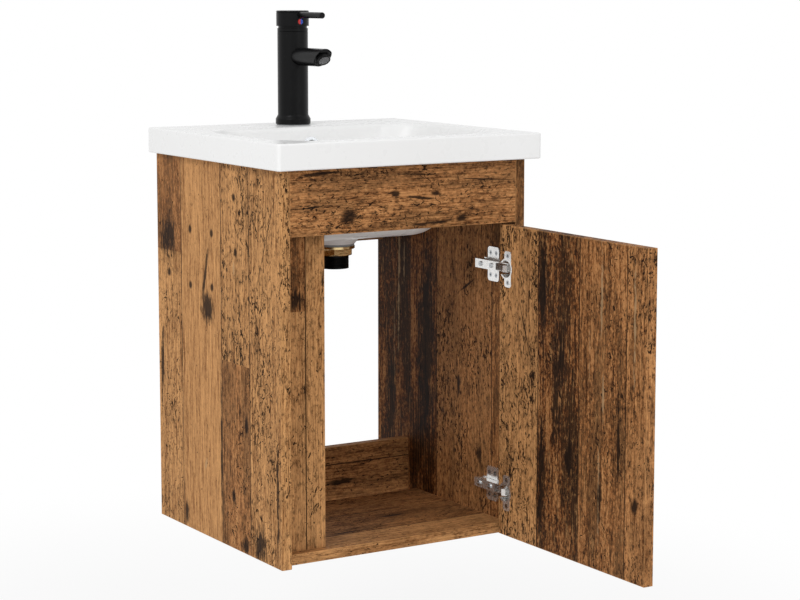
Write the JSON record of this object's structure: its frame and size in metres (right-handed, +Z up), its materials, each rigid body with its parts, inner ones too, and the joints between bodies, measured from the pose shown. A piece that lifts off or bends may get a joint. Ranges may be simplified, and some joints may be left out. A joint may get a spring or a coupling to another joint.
{
  "type": "vanity unit with basin",
  "caption": "Wall-hung bathroom vanity cabinet of aged-plank boards with a ceramic basin, single-lever tap, waste fitting and an inset door on concealed hinges.",
  "frame": {"origin": "on the wall plane, midway between the wall screw holes of the upper back rail", "axes": "+Z up, +Y into the wall, +X to the right seen from the front; the door is stored open by 90 degrees"},
  "size_m": [0.42, 0.698, 0.7438],
  "materials": {
    "aged_board": "printed aged plank decor on chipboard, satin",
    "beech": "raw beech",
    "zinc_steel": "zinc plated",
    "nickel_steel": "nickel plated",
    "white_glaze": "glossy white glaze",
    "chrome_trim": "polished",
    "black_metal": "matt black coating",
    "plain_brass": "turned",
    "grey_rubber": "moulded",
    "grey_plastic": "moulded",
    "red_enamel": "gloss",
    "blue_enamel": "gloss"
  },
  "bodies": {
    "cabinet": {"aerator_housing": "black_metal", "aerator_screen": "grey_plastic", "bottom_panel": "aged_board", "cam_bolts": "zinc_steel", "cam_discs": "zinc_steel", "cartridge_housing": "grey_plastic", "cartridge_ring_nut": "black_metal", "ceramic_basin": "white_glaze", "front_rail": "aged_board", "grip_stile": "aged_board", "hinge_arm_lower": "nickel_steel", "hinge_arm_screws": "zinc_steel", "hinge_arm_upper": "nickel_steel", "hinge_pins": "zinc_steel", "hinge_plate_lower": "nickel_steel", "hinge_plate_screws": "zinc_steel", "hinge_plate_upper": "nickel_steel", "left_side_panel": "aged_board", "lower_back_rail": "aged_board", "overflow_ring": "chrome_trim", "right_side_panel": "aged_board", "tap_body": "black_metal", "tap_clamp_plate": "zinc_steel", "tap_gasket": "grey_rubber", "tap_spout": "black_metal", "tap_stud": "zinc_steel", "tap_stud_nut": "zinc_steel", "upper_back_rail": "aged_board", "waste_body": "black_metal", "waste_gasket": "grey_rubber", "waste_locknut": "plain_brass", "waste_washer": "grey_rubber", "wood_dowels": "beech"},
    "door": {"door_board": "aged_board", "hinge_cup_upper": "nickel_steel", "hinge_cup_lower": "nickel_steel", "hinge_cup_screws": "zinc_steel"},
    "lever_turret": {"cartridge_turret": "grey_plastic", "turret_pin": "zinc_steel"},
    "lever": {"cartridge_spindle": "plain_brass", "lever_cap": "black_metal", "lever_pin": "black_metal", "lever_grub_screw": "zinc_steel", "dot_hot": "red_enamel", "dot_cold": "blue_enamel"},
    "plug": {"waste_plug": "black_metal", "plug_seal": "grey_rubber"}
  },
  "joints": [
    {"name": "door_swing", "type": "hinge", "parent": "cabinet", "child": "door", "pos_m": [0.1725, -0.369, -0.2105], "axis": [0, 0, 1], "range_deg": [-90, 0]},
    {"name": "lever_turn", "type": "hinge", "parent": "cabinet", "child": "lever_turret", "pos_m": [0, -0.0575, 0.28], "axis": [0, 0, 1], "range_deg": [-45, 45]},
    {"name": "lever_lift", "type": "hinge", "parent": "lever_turret", "child": "lever", "pos_m": [0, -0.0575, 0.28], "axis": [-1, 0, 0], "range_deg": [0, 16]},
    {"name": "plug_travel", "type": "slide", "parent": "cabinet", "child": "plug", "axis": [0, 0, 1], "range_m": [0, 0.008]}
  ]
}
